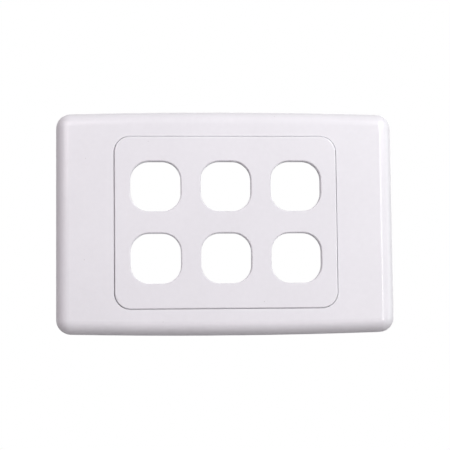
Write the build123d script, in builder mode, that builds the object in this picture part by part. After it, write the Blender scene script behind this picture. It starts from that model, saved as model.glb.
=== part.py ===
from build123d import *

import os

# Six-aperture wall plate: a grid plate that screws to the wall and holds six switch
# mechanisms, and a clip-on surround that hides its fixing screws.
#
# The plate hangs upright. The origin is on the wall plane, midway between the two
# fixing slots. +X runs to the right and +Z up, as seen from the room, and the front
# faces -Y. Depths are measured out from the wall, along -Y.

# Mechanisms that clip into the plate from behind
mechanism_columns = 3
mechanism_rows = 2
mechanism_width = 21.4
mechanism_height = 21.4
mechanism_shoulder = 2.1  # all round the nose that fills an aperture

# Cells that hold them
cell_rib = 1.25  # between columns, and between rows beside the latches
cell_rib_depth = 3.0  # back from the panel
cell_gap = 0.7  # from a rib to a mechanism's side
latch_gap = 0.1  # from a latch to a mechanism's top or bottom
latch_room = 0.9  # between back-to-back latches, for them to spring
latch_width = 6.0
latch_thickness = 1.1
latch_catch = 0.6
latch_nose = 1.8  # length of the lead-in slope
latch_end = 0.4  # depth of the latch's tip

# Apertures
aperture_straight = 4.4  # straight part of each side, between the corner arcs
aperture_edge = 0.3  # bevel at the front
collar_width = 1.2  # raised seat behind, for the mechanism's shoulder
collar_depth = 0.5

# Raised panel, seen through the surround's window
panel_margin_x = 5.45  # outer apertures to the panel's sides
panel_margin_z = 8.6
panel_corner = 5.5
panel_proud = 0.4  # panel face in front of the surround's face
panel_round = 0.45
panel_thickness = 2.2
panel_wall = 2.0

# Surround
border_x = 19.9  # panel's side to the end of the plate
border_z = 9.0  # panel's top to the middle of the bowed long edge
edge_bow = 0.85  # rise of each long edge over the plate's length
cover_depth = 9.0  # wall to the surround's face
cover_clear = 0.2  # the skirt stops this short of the wall
cover_wall = 2.0
bevel_radius = 4.6  # rounding from the face into the skirt
face_corner = 0.4  # radius of the face's own corners, inside that rounding
skirt_straight = 1.0  # least straight skirt behind the rounding
inside_round_least = 0.5
window_gap_x = 0.18  # to each of the panel's sides
window_gap_z = 0.1  # to its top and bottom
window_round = 0.2
lip_wall = 1.2  # return round the window, behind the face
lip_depth = 1.0

# Flange that lies on the wall, round the panel's box
flange_gap = 0.4  # to the inside of the skirt
flange_front = 3.5  # wall to the flange's front
flange_plate = 1.9
flange_rim = 1.3
rib_width = 1.4  # webs behind the flange, and seats in front of it
wing_ribs = 4
wing_rib_pitch = 16.0
edge_ribs = 3
edge_rib_pitch = 17.0
seat_gap = 0.6  # from a seat to the lip and to the inside rounding

# Fixing slots for M3.5 screws, which these sizes put at the standard 84 mm centres
slot_width = 4.2
slot_travel = 1.6
boss_wall = 2.0
screw_head = 7.4  # room for the head's diameter
head_recess = 0.8
head_relief = 0.6  # how far that room cuts into the panel's side

# Snap hooks of the surround, and the flange windows they enter
hook_inset = 4.5  # from the panel's side to the middle of a hook
hook_width = 7.6
hook_thickness = 1.1
hook_ledge = 2.4  # strip of flange between the panel's box and a window
hook_gap = 0.25  # arm to that strip
hook_bite = 0.45  # barb under that strip
hook_clear = 0.1  # barb to the flange's back
hook_end = 0.3  # depth of the hook's tip
hook_room = 0.8  # behind the arm, for it to spring
hook_side_gap = 0.4

# Slot for a screwdriver that prises the surround off
prise_width = 8.0
prise_depth = 1.3

overlap = 0.5  # how far a joined feature starts inside what it grows from

# Sizes that follow
pitch_x = mechanism_width + 2 * cell_gap + cell_rib
pitch_z = mechanism_height + 2 * (latch_gap + latch_thickness) + latch_room
aperture_width = mechanism_width - 2 * mechanism_shoulder
aperture_height = mechanism_height - 2 * mechanism_shoulder
aperture_corner = (min(aperture_width, aperture_height) - aperture_straight) / 2
panel_width = (mechanism_columns - 1) * pitch_x + aperture_width + 2 * panel_margin_x
panel_height = (mechanism_rows - 1) * pitch_z + aperture_height + 2 * panel_margin_z
panel_front = cover_depth + panel_proud
panel_back = panel_front - panel_thickness
cover_width = panel_width + 2 * border_x
cover_height = panel_height + 2 * border_z
cover_inside = cover_depth - cover_wall
bevel = min(bevel_radius, cover_depth - cover_clear - skirt_straight)
inside_round = max(bevel - cover_wall, inside_round_least)
window_width = panel_width + 2 * window_gap_x
window_height = panel_height + 2 * window_gap_z
window_corner = panel_corner + (window_gap_x + window_gap_z) / 2
lip_front = cover_inside - lip_depth
flange_back = flange_front - flange_plate
slot_length = slot_width + slot_travel
fixing_centres = panel_width + slot_travel + screw_head - 2 * head_relief
hook_offset = panel_width / 2 - hook_inset
ledge_edge = panel_height / 2 + hook_ledge
arm_inner = ledge_edge + hook_gap
arm_outer = arm_inner + hook_thickness


def depth_plane(depth):
    """Plane parallel to the wall, this far out from it."""
    return Plane.XZ.offset(depth)


def centred(count, pitch):
    """Places of a row of equal steps, centred on zero."""
    return [(i - (count - 1) / 2) * pitch for i in range(count)]


cell_centres = [
    (x, z)
    for z in centred(mechanism_rows, pitch_z)
    for x in centred(mechanism_columns, pitch_x)
]
fixing_places = [(x, 0) for x in centred(2, fixing_centres)]
hook_places = [(x, 0, 0) for x in centred(2, 2 * hook_offset)]

# Outline of the plate: straight ends, bowed long edges and rounded corners
with BuildSketch() as outline:
    with BuildLine():
        top = ThreePointArc(
            (-cover_width / 2, cover_height / 2 - edge_bow),
            (0, cover_height / 2),
            (cover_width / 2, cover_height / 2 - edge_bow),
        )
        bottom = ThreePointArc(
            (-cover_width / 2, edge_bow - cover_height / 2),
            (0, -cover_height / 2),
            (cover_width / 2, edge_bow - cover_height / 2),
        )
        Line(top @ 0, bottom @ 0)
        Line(top @ 1, bottom @ 1)
    make_face()
    fillet(outline.vertices(), radius=bevel + face_corner)

# Outline of the flange, just inside the skirt, and of the space inside its rim
with BuildSketch() as flange_outline:
    add(outline.sketch_local)
    offset(amount=-(cover_wall + flange_gap), mode=Mode.REPLACE)

with BuildSketch() as inside_rim:
    add(flange_outline.sketch_local)
    offset(amount=-flange_rim, mode=Mode.REPLACE)

# Flat part of the surround's inside face, where the seats may bear
with BuildSketch() as bearing_area:
    add(outline.sketch_local)
    offset(amount=-(cover_wall + inside_round + seat_gap), mode=Mode.REPLACE)
    RectangleRounded(
        window_width + 2 * (lip_wall + seat_gap),
        window_height + 2 * (lip_wall + seat_gap),
        window_corner + lip_wall + seat_gap,
        mode=Mode.SUBTRACT,
    )

# Lines that the flange's webs and seats follow
with BuildSketch() as rib_lines:
    with Locations(*[(0, z) for z in centred(wing_ribs, wing_rib_pitch)]):
        Rectangle(cover_width, rib_width)
    with Locations(*[(x, 0) for x in centred(edge_ribs, edge_rib_pitch)]):
        Rectangle(rib_width, cover_height)

# Inside of the surround, rounded where the face turns into the skirt
with BuildPart() as cover_hollow:
    with BuildSketch(depth_plane(0)):
        add(outline.sketch_local)
        offset(amount=-cover_wall, mode=Mode.REPLACE)
    extrude(amount=cover_inside)
    fillet(cover_hollow.faces().sort_by(Axis.Y)[0].edges(), radius=inside_round)

# One snap hook of the surround: an arm, with a barb that catches behind the flange
with BuildPart() as snap_hook:
    with BuildSketch(Plane.YZ):
        with BuildLine():
            Polyline(
                (-(cover_inside + overlap), arm_outer),
                (-hook_end, arm_outer),
                (-hook_end, arm_inner),
                (-(flange_back - hook_clear), ledge_edge - hook_bite),
                (-(flange_back - hook_clear), arm_inner),
                (-(cover_inside + overlap), arm_inner),
                close=True,
            )
        make_face()
    extrude(amount=hook_width / 2, both=True)

# Surround: a shallow cover with a window, four snap hooks and a prising slot
with BuildPart() as surround:
    with BuildSketch(depth_plane(cover_clear)):
        add(outline.sketch_local)
    extrude(amount=cover_depth - cover_clear)
    fillet(surround.faces().sort_by(Axis.Y)[0].edges(), radius=bevel)
    add(cover_hollow.part, mode=Mode.SUBTRACT)
    with BuildSketch(depth_plane(lip_front)):
        RectangleRounded(
            window_width + 2 * lip_wall,
            window_height + 2 * lip_wall,
            window_corner + lip_wall,
        )
    extrude(amount=lip_depth + overlap)
    with BuildSketch(depth_plane(0)):
        RectangleRounded(window_width, window_height, window_corner)
    extrude(amount=cover_depth, mode=Mode.SUBTRACT)
    fillet(surround.faces().sort_by(Axis.Y)[0].inner_wires()[0].edges(), radius=window_round)
    with Locations(*hook_places):
        add(snap_hook.part)
        add(mirror(snap_hook.part, about=Plane.XY, mode=Mode.PRIVATE))
    with BuildSketch(depth_plane(cover_clear)):
        with Locations((0, -cover_height / 2)):
            Rectangle(prise_width, 2 * (cover_wall + overlap))
    extrude(amount=prise_depth, mode=Mode.SUBTRACT)

# One pair of latches: arms above and below a cell, barbed towards the mechanism
latch_inner = mechanism_height / 2 + latch_gap
with BuildPart() as latch_pair:
    with BuildSketch(Plane.YZ):
        with BuildLine():
            Polyline(
                (-(panel_back + overlap), latch_inner + latch_thickness),
                (-latch_end, latch_inner + latch_thickness),
                (-latch_end, latch_inner),
                (-(latch_end + latch_nose), latch_inner - latch_catch),
                (-(latch_end + latch_nose), latch_inner),
                (-(panel_back + overlap), latch_inner),
                close=True,
            )
        make_face()
    extrude(amount=latch_width / 2, both=True)
    mirror(about=Plane.XY)

# Grid plate: wall flange, raised panel with six apertures, latches and fixing slots
with BuildPart() as grid_plate:
    with BuildSketch(depth_plane(flange_back)):
        add(flange_outline.sketch_local)
    extrude(amount=flange_plate)
    with BuildSketch(depth_plane(0)):
        add(flange_outline.sketch_local)
        add(inside_rim.sketch_local, mode=Mode.SUBTRACT)
        add(rib_lines.sketch_local)
        add(flange_outline.sketch_local, mode=Mode.INTERSECT)
    extrude(amount=flange_back)

    # Seats that carry the surround
    with BuildSketch(depth_plane(flange_front)):
        add(rib_lines.sketch_local)
        add(bearing_area.sketch_local, mode=Mode.INTERSECT)
    extrude(amount=cover_inside - flange_front)

    # Bosses round the fixing slots
    with BuildSketch(depth_plane(0)):
        with Locations(*fixing_places):
            SlotOverall(slot_length + 2 * boss_wall, slot_width + 2 * boss_wall)
    extrude(amount=flange_front)

    # Panel, on the open-backed box that carries it
    with BuildSketch(depth_plane(0)):
        RectangleRounded(panel_width, panel_height, panel_corner)
    extrude(amount=panel_front)
    fillet(grid_plate.faces().sort_by(Axis.Y)[0].edges(), radius=panel_round)
    with BuildSketch(depth_plane(0)):
        RectangleRounded(
            panel_width - 2 * panel_wall,
            panel_height - 2 * panel_wall,
            panel_corner - panel_wall,
        )
    extrude(amount=panel_back, mode=Mode.SUBTRACT)

    # Fixing slots, with room for the screws' heads
    with BuildSketch(depth_plane(0)):
        with Locations(*fixing_places):
            SlotOverall(slot_length, slot_width)
    extrude(amount=flange_front, mode=Mode.SUBTRACT)
    with BuildSketch(depth_plane(flange_front - head_recess)):
        with Locations(*fixing_places):
            SlotOverall(slot_travel + screw_head, screw_head)
    extrude(amount=lip_front - flange_front + head_recess, mode=Mode.SUBTRACT)

    # Windows for the snap hooks
    with BuildSketch(depth_plane(0)):
        for side in (-1, 1):
            with Locations(
                *[(x, side * (ledge_edge + arm_outer + hook_room) / 2) for x, y, z in hook_places]
            ):
                Rectangle(hook_width + 2 * hook_side_gap, arm_outer + hook_room - ledge_edge)
    extrude(amount=flange_front, mode=Mode.SUBTRACT)

    # Ribs between the cells: whole between columns, broken for the latches between rows
    with BuildSketch(depth_plane(panel_back - cell_rib_depth)):
        with Locations(*[(0, z) for z in centred(mechanism_rows - 1, pitch_z)]):
            Rectangle(panel_width - panel_wall, cell_rib)
        with Locations(*[(x, 0) for x in centred(mechanism_columns, pitch_x)]):
            Rectangle(latch_width + 2 * latch_room, panel_height / 2, mode=Mode.SUBTRACT)
        with Locations(*[(x, 0) for x in centred(mechanism_columns - 1, pitch_x)]):
            Rectangle(cell_rib, panel_height - panel_wall)
    extrude(amount=cell_rib_depth + overlap)

    # Collars, apertures and latches
    with BuildSketch(depth_plane(panel_back - collar_depth)):
        with Locations(*cell_centres):
            RectangleRounded(
                aperture_width + 2 * collar_width,
                aperture_height + 2 * collar_width,
                aperture_corner + collar_width,
            )
    extrude(amount=collar_depth + overlap)
    with BuildSketch(depth_plane(0)):
        with Locations(*cell_centres):
            RectangleRounded(aperture_width, aperture_height, aperture_corner)
    extrude(amount=panel_front, mode=Mode.SUBTRACT)
    panel_face = grid_plate.faces().sort_by(Axis.Y)[0]
    chamfer(panel_face.inner_wires().edges(), length=aperture_edge)
    with Locations(*[(x, 0, z) for x, z in cell_centres]):
        add(latch_pair.part)

surround.part.label = "surround"
grid_plate.part.label = "grid_plate"

os.makedirs("parts", exist_ok=True)
export_step(surround.part, "parts/surround.step")
export_step(grid_plate.part, "parts/grid_plate.step")
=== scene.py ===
import math

import bpy
from mathutils import Matrix, Vector


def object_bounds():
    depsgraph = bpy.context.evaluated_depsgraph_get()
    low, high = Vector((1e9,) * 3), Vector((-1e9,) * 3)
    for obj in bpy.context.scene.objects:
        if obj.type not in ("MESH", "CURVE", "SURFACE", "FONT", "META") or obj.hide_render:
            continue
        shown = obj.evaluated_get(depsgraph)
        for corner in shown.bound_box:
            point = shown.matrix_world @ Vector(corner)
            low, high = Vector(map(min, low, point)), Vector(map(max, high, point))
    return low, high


# White moulded wall plate: a grid plate with six apertures in a clip-on surround.
# Metres, in the plate's own frame: the wall is at Y = 0, the front faces -Y, +Z is up.

# The camera stands a little left of and below the plate's middle
CAMERA_PLACE = (-0.0364, -0.500, -0.0459)
CAMERA_AIM = (0.00025, 0.0, -0.00019)
CAMERA_ROLL = -0.597  # degrees
FOCAL_PIXELS = 1446.0
IMAGE_PIXELS = 450.0
SENSOR_MM = 36.0

# Floor, well below the plate. This share of it is plain white near its middle, and it
# fades to all white between two distances from there
FLOOR_DROP = 0.30
FLOOR_SIZE = 12.0
FLOOR_TONE = (0.50, 0.50, 0.50)
FLOOR_WHITE = 0.62
FLOOR_FADE = (0.4, 2.2)

# Colours of the light, rosy where it fills the shadows, and the strength of the world's
WHITE = (1.0, 1.0, 1.0)
FILL_ROSE = (1.0, 0.91, 0.945)
CARD_ROSE = (1.0, 0.68, 0.84)
WORLD_ROSE = (1.0, 0.66, 0.83)
WORLD_LIGHT = 0.086

# Tone of the mouldings. A scale is in waves or cells to the metre. A range is the part of
# a noise that is stretched from nought to one, and a share is how much it counts
CLOUD_SCALE = 42.0
CLOUD_RANGE = (0.32, 0.68)
CLOUD_SHARE = 0.55
MOTTLE_SCALE = 620.0
MOTTLE_RANGE = (0.30, 0.70)
MOTTLE_SHARE = 0.35
SPECK_SCALE = 230.0
SPECK_CHANCE = (0.84, 0.85)  # about one cell in six holds a speck
SPECK_RADIUS = (0.030, 0.045)  # in cells, without and with its soft edge
SPECK_TONE = (0.60, 0.60, 0.61)

# Gloss and relief. A height is given against the grain's, which is one
POLISH_SCALE = 85.0
POLISH_RANGE = (0.30, 0.70)
POLISH_SHARE = 0.7
GRAIN_SHARE = 0.3
GRAIN_DEPTH = 0.00002
GRAIN_STRENGTH = 0.35
WAVE_SCALE = 150.0
WAVE_HEIGHT = 0.8
DRAG_SCALE = 2200.0
DRAG_STRETCH = (1.0, 0.06, 1.0)
DRAG_HEIGHT = 1.5
WALL_FACING = (0.15, 0.40)  # a wall's normal has no more than this of Y
WALL_ROUGHNESS = 0.60
EDGE_SOFTNESS = 0.00012
EDGE_SAMPLES = 4

# Rings that the ejector pins left behind
MARK_RADIUS = 0.0022
MARK_LINE = (0.00006, 0.00016)  # half of the line's width, without and with its soft edge
MARK_DEPTH = 0.00008
MARK_STRENGTH = 0.5
MARK_FACING = (0.90, 0.95)  # what faces the wall has at least this of Y

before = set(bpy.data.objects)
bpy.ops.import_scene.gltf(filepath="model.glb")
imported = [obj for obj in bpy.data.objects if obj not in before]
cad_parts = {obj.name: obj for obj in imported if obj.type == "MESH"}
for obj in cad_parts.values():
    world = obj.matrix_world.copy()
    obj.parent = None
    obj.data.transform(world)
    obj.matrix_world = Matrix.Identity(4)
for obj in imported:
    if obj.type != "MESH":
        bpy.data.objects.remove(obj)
cad_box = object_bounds()


def direction(azimuth, elevation):
    """Unit vector from the plate towards a place round it, in degrees."""
    a, e = math.radians(azimuth), math.radians(elevation)
    return Vector((math.sin(a) * math.cos(e), -math.cos(a) * math.cos(e), math.sin(e)))


def feed(tree, socket, given):
    """Link the socket to another, or set it where a plain value is given."""
    if isinstance(given, bpy.types.NodeSocket):
        tree.links.new(given, socket)
    else:
        socket.default_value = given


def add_noise(tree, vector, scale, detail):
    noise = tree.nodes.new("ShaderNodeTexNoise")
    noise.inputs["Detail"].default_value = detail
    feed(tree, noise.inputs["Scale"], scale)
    feed(tree, noise.inputs["Vector"], vector)
    return noise.outputs["Fac"]


def add_range(tree, value, low, high, to_low=0.0, to_high=1.0):
    """The value moved from one range to another, and held inside it."""
    node = tree.nodes.new("ShaderNodeMapRange")
    given = {"Value": value, "From Min": low, "From Max": high, "To Min": to_low, "To Max": to_high}
    for socket in given:
        feed(tree, node.inputs[socket], given[socket])
    return node.outputs["Result"]


def add_math(tree, operation, first, second=0.0):
    node = tree.nodes.new("ShaderNodeMath")
    node.operation = operation
    feed(tree, node.inputs[0], first)
    feed(tree, node.inputs[1], second)
    return node.outputs["Value"]


def add_sum(tree, *terms):
    """Sum of products, such as of each value and its weight."""
    total = 0.0
    for value, weight in terms:
        total = add_math(tree, "ADD", total, add_math(tree, "MULTIPLY", value, weight))
    return total


def add_split(tree, vector):
    """The vector's outputs X, Y and Z."""
    node = tree.nodes.new("ShaderNodeSeparateXYZ")
    tree.links.new(vector, node.inputs["Vector"])
    return node.outputs


def add_colour_mix(tree, factor, first, second):
    node = tree.nodes.new("ShaderNodeMix")
    node.data_type = "RGBA"
    tree.links.new(factor, node.inputs[0])
    tree.links.new(first, node.inputs[6])
    tree.links.new(second, node.inputs[7])
    return node.outputs[2]


def add_shader_mix(tree, factor, first, second):
    node = tree.nodes.new("ShaderNodeMixShader")
    for socket, given in zip(node.inputs, (factor, first, second)):
        tree.links.new(given, socket)
    return node.outputs["Shader"]


def add_bump(tree, normal, height, strength, distance):
    node = tree.nodes.new("ShaderNodeBump")
    node.inputs["Strength"].default_value = strength
    node.inputs["Distance"].default_value = distance
    tree.links.new(normal, node.inputs["Normal"])
    tree.links.new(height, node.inputs["Height"])
    return node.outputs["Normal"]


def add_seen_ray(tree):
    """One where the camera, a gloss or a clear material looks, and nought for the light."""
    path = tree.nodes.new("ShaderNodeLightPath").outputs
    mirrored = add_math(tree, "MAXIMUM", path["Is Glossy Ray"], path["Is Transmission Ray"])
    return add_math(tree, "MAXIMUM", path["Is Camera Ray"], mirrored)


def new_group(name, inputs, outputs):
    """A shader node group with its sockets, what it is given, and its end node."""
    group = bpy.data.node_groups.new(name, "ShaderNodeTree")
    for in_out, sockets in (("INPUT", inputs), ("OUTPUT", outputs)):
        for socket, kind in sockets.items():
            group.interface.new_socket(socket, in_out=in_out, socket_type="NodeSocket" + kind)
    given = group.nodes.new("NodeGroupInput").outputs
    return group, given, group.nodes.new("NodeGroupOutput").inputs


def place_group(tree, group, vector, normal, values):
    """A node group in a material, with that material's values."""
    node = tree.nodes.new("ShaderNodeGroup")
    node.node_tree = group
    tree.links.new(vector, node.inputs["Vector"])
    tree.links.new(normal, node.inputs["Normal"])
    for socket, value in values.items():
        node.inputs[socket].default_value = value
    return node.outputs


def new_material(name):
    """A material with no nodes but its output, with its tree and the output's surface."""
    material = bpy.data.materials.new(name)
    material.use_nodes = True
    tree = material.node_tree
    tree.nodes.clear()
    return material, tree, tree.nodes.new("ShaderNodeOutputMaterial").inputs["Surface"]


def moulded_finish():
    """Fine unevenness of moulded plastic: clouded tone, specks, patchy gloss and a grain.

    Walls that slid along the mould are matte, with drag lines that run in and out.
    """
    group, given, out = new_group(
        "moulded_finish",
        {"Vector": "Vector", "Normal": "Vector", "Light Tone": "Color", "Dark Tone": "Color",
         "Speck Tone": "Color", "Least Roughness": "Float", "Most Roughness": "Float",
         "Wall Roughness": "Float", "Grain Scale": "Float"},
        {"Color": "Color", "Roughness": "Float", "Height": "Float"},
    )
    vector = given["Vector"]
    facing = add_math(group, "ABSOLUTE", add_split(group, given["Normal"])["Y"])
    wall = add_range(group, facing, *WALL_FACING, to_low=1.0, to_high=0.0)

    # Tone: broad clouds, a close mottle, and a few specks of dust in the melt
    clouds = add_range(group, add_noise(group, vector, CLOUD_SCALE, detail=3.0), *CLOUD_RANGE)
    mottle = add_range(group, add_noise(group, vector, MOTTLE_SCALE, detail=4.0), *MOTTLE_RANGE)
    tone = add_sum(group, (clouds, CLOUD_SHARE), (mottle, MOTTLE_SHARE))
    plain = add_colour_mix(group, tone, given["Light Tone"], given["Dark Tone"])
    cells = group.nodes.new("ShaderNodeTexVoronoi")
    cells.inputs["Scale"].default_value = SPECK_SCALE
    group.links.new(vector, cells.inputs["Vector"])
    chance = group.nodes.new("ShaderNodeSeparateColor")
    group.links.new(cells.outputs["Color"], chance.inputs["Color"])
    chosen = add_range(group, chance.outputs["Red"], *SPECK_CHANCE)
    dot = add_range(group, cells.outputs["Distance"], *SPECK_RADIUS, to_low=1.0, to_high=0.0)
    speck = add_math(group, "MULTIPLY", chosen, dot)
    specked = add_colour_mix(group, speck, plain, given["Speck Tone"])
    group.links.new(specked, out["Color"])

    # Gloss: broad patches from the mould's polish, broken up by the grain
    grain = add_noise(group, vector, given["Grain Scale"], detail=2.0)
    patches = add_range(group, add_noise(group, vector, POLISH_SCALE, detail=3.0), *POLISH_RANGE)
    gloss = add_range(group, add_sum(group, (patches, POLISH_SHARE), (grain, GRAIN_SHARE)), 0.0, 1.0,
                      given["Least Roughness"], given["Most Roughness"])
    matte = add_math(group, "MULTIPLY", wall, given["Wall Roughness"])
    group.links.new(add_math(group, "ADD", gloss, matte), out["Roughness"])

    # Height: the grain on a slow waviness, and the drag lines on the walls
    waves = add_noise(group, vector, WAVE_SCALE, detail=1.0)
    stretch = group.nodes.new("ShaderNodeMapping")
    stretch.inputs["Scale"].default_value = DRAG_STRETCH
    group.links.new(vector, stretch.inputs["Vector"])
    lines = add_noise(group, stretch.outputs["Vector"], DRAG_SCALE, detail=2.0)
    drag = add_math(group, "MULTIPLY", wall, lines)
    height = add_sum(group, (grain, 1.0), (waves, WAVE_HEIGHT), (drag, DRAG_HEIGHT))
    group.links.new(height, out["Height"])
    return group


def ejector_marks():
    """Faint rings on the side towards the wall, where pins pushed the moulding out.

    Across and Up say how far their middles lie from the plate's axes, so there are four.
    """
    group, given, out = new_group(
        "ejector_marks",
        {"Vector": "Vector", "Normal": "Vector", "Across": "Float", "Up": "Float", "Radius": "Float"},
        {"Height": "Float"},
    )
    place = add_split(group, given["Vector"])
    across = add_math(group, "SUBTRACT", add_math(group, "ABSOLUTE", place["X"]), given["Across"])
    up = add_math(group, "SUBTRACT", add_math(group, "ABSOLUTE", place["Z"]), given["Up"])
    from_middle = add_math(group, "SQRT", add_sum(group, (across, across), (up, up)))
    from_ring = add_math(group, "ABSOLUTE", add_math(group, "SUBTRACT", from_middle, given["Radius"]))
    ring = add_range(group, from_ring, *MARK_LINE, to_low=1.0, to_high=0.0)
    behind = add_range(group, add_split(group, given["Normal"])["Y"], *MARK_FACING)
    group.links.new(add_math(group, "MULTIPLY", ring, behind), out["Height"])
    return group


def plastic(name, light_tone, dark_tone, roughness, grain_scale, marks_at):
    """White moulded plastic, smooth and a little glossy.

    Roughness runs from its first to its second value, and marks_at is how far across and
    up the ejector marks lie.
    """
    material, tree, surface = new_material(name)
    shader = tree.nodes.new("ShaderNodeBsdfPrincipled")
    coords = tree.nodes.new("ShaderNodeTexCoord").outputs
    finish = place_group(tree, finish_group, coords["Object"], coords["Normal"], {
        "Light Tone": (*light_tone, 1.0),
        "Dark Tone": (*dark_tone, 1.0),
        "Speck Tone": (*SPECK_TONE, 1.0),
        "Least Roughness": roughness[0],
        "Most Roughness": roughness[1],
        "Wall Roughness": WALL_ROUGHNESS,
        "Grain Scale": grain_scale,
    })
    marks = place_group(tree, marks_group, coords["Object"], coords["Normal"], {
        "Across": marks_at[0],
        "Up": marks_at[1],
        "Radius": MARK_RADIUS,
    })
    softened = tree.nodes.new("ShaderNodeBevel")
    softened.samples = EDGE_SAMPLES
    softened.inputs["Radius"].default_value = EDGE_SOFTNESS
    ringed = add_bump(tree, softened.outputs["Normal"], marks["Height"], MARK_STRENGTH, MARK_DEPTH)
    grained = add_bump(tree, ringed, finish["Height"], GRAIN_STRENGTH, GRAIN_DEPTH)
    tree.links.new(finish["Color"], shader.inputs["Base Color"])
    tree.links.new(finish["Roughness"], shader.inputs["Roughness"])
    tree.links.new(grained, shader.inputs["Normal"])
    tree.links.new(shader.outputs["BSDF"], surface)
    return material


finish_group = moulded_finish()
marks_group = ejector_marks()
plastics = {
    "surround": plastic(
        "surround_plastic", light_tone=(0.812, 0.832, 0.857), dark_tone=(0.770, 0.789, 0.813),
        roughness=(0.14, 0.22), grain_scale=2600.0, marks_at=(0.0465, 0.016)),
    "grid_plate": plastic(
        "grid_plastic", light_tone=(0.806, 0.826, 0.851), dark_tone=(0.766, 0.785, 0.809),
        roughness=(0.16, 0.24), grain_scale=2900.0, marks_at=(0.0460, 0.016)),
}
for node, material in plastics.items():
    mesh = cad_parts[node].data
    mesh.materials.clear()
    mesh.materials.append(material)


def build_floor():
    """A pale floor below the plate, which fades to the white behind it far from the plate.

    From below it isn't seen, so that it never hides the plate.
    """
    bpy.ops.object.select_all(action="DESELECT")
    bottom = cad_box[0].z - FLOOR_DROP
    bpy.ops.mesh.primitive_plane_add(size=FLOOR_SIZE, location=(0.0, 0.0, bottom))
    floor = bpy.context.object
    floor.name = "floor"
    material, tree, surface = new_material("floor")
    pale = tree.nodes.new("ShaderNodeBsdfDiffuse")
    pale.inputs["Color"].default_value = (*FLOOR_TONE, 1.0)
    white = tree.nodes.new("ShaderNodeEmission")
    white.inputs["Strength"].default_value = 1.0
    coords = tree.nodes.new("ShaderNodeTexCoord")
    away = tree.nodes.new("ShaderNodeVectorMath")
    away.operation = "LENGTH"
    tree.links.new(coords.outputs["Object"], away.inputs[0])
    whiteness = add_range(tree, away.outputs["Value"], *FLOOR_FADE, to_low=FLOOR_WHITE)
    whiteness = add_math(tree, "MULTIPLY", whiteness, add_seen_ray(tree))
    above = add_shader_mix(tree, whiteness, pale.outputs["BSDF"], white.outputs["Emission"])
    clear = tree.nodes.new("ShaderNodeBsdfTransparent")
    below = tree.nodes.new("ShaderNodeNewGeometry").outputs["Backfacing"]
    tree.links.new(add_shader_mix(tree, below, above, clear.outputs["BSDF"]), surface)
    floor.data.materials.append(material)


def build_world():
    """Soft light from all round, and plain white where the camera or a gloss sees it."""
    world = bpy.data.worlds.new("studio")
    bpy.context.scene.world = world
    world.use_nodes = True
    tree = world.node_tree
    tree.nodes.clear()
    output = tree.nodes.new("ShaderNodeOutputWorld")
    soft = tree.nodes.new("ShaderNodeBackground")
    soft.inputs["Color"].default_value = (*WORLD_ROSE, 1.0)
    soft.inputs["Strength"].default_value = WORLD_LIGHT
    white = tree.nodes.new("ShaderNodeBackground")
    white.inputs["Color"].default_value = (*WHITE, 1.0)
    white.inputs["Strength"].default_value = 1.0
    seen = add_seen_ray(tree)
    mix = add_shader_mix(tree, seen, soft.outputs["Background"], white.outputs["Background"])
    tree.links.new(mix, output.inputs["Surface"])


def build_lamp(name, place, size, power, color=WHITE, spread=math.pi):
    """A soft panel lamp that faces the plate.

    Place is its azimuth and elevation in degrees and its distance, and size its width
    and height. Power is in watts, and spread is the angle of the beam in radians.
    """
    azimuth, elevation, distance = place
    data = bpy.data.lights.new(name, "AREA")
    data.shape = "RECTANGLE"
    data.size, data.size_y = size
    data.energy = power
    data.spread = spread
    data.color = color
    lamp = bpy.data.objects.new(name, data)
    bpy.context.scene.collection.objects.link(lamp)
    lamp.location = direction(azimuth, elevation) * distance
    lamp.rotation_mode = "QUATERNION"
    lamp.rotation_quaternion = (-lamp.location).to_track_quat("-Z", "Y")
    lamp.visible_camera = False
    return lamp


def build_camera():
    data = bpy.data.cameras.new("camera")
    camera = bpy.data.objects.new("camera", data)
    bpy.context.scene.collection.objects.link(camera)
    data.sensor_width = SENSOR_MM
    data.lens = FOCAL_PIXELS / IMAGE_PIXELS * SENSOR_MM
    camera.location = CAMERA_PLACE
    turn = (Vector(CAMERA_AIM) - camera.location).to_track_quat("-Z", "Y").to_matrix()
    roll = Matrix.Rotation(math.radians(CAMERA_ROLL), 3, "Z")
    camera.rotation_mode = "QUATERNION"
    camera.rotation_quaternion = (turn @ roll).to_quaternion()
    bpy.context.scene.camera = camera


build_floor()
build_world()
build_lamp("key_lamp", place=(42.0, 30.0, 0.60), size=(0.34, 0.40), power=2.19)
build_lamp("fill_lamp", place=(-30.0, 27.0, 0.60), size=(0.42, 0.42), power=1.54, color=FILL_ROSE)
build_lamp("side_lamp", place=(82.0, 5.0, 0.60), size=(0.30, 0.30), power=0.36)
build_lamp("card_lamp", place=(20.0, -22.0, 0.60), size=(0.50, 0.20), power=0.18, color=CARD_ROSE)
build_lamp("strip_lamp", place=(24.0, 4.0, 0.70), size=(0.05, 0.60), power=0.94)

# A narrow beam for the side towards the wall. The gloss doesn't show it, because it would
# put a gleam along the plate's right edge
back_lamp = build_lamp("back_lamp", place=(156.0, 22.0, 0.90), size=(0.45, 0.45), power=0.78, spread=0.80)
back_lamp.visible_glossy = False
build_camera()

bpy.context.scene.view_settings.view_transform = "Standard"
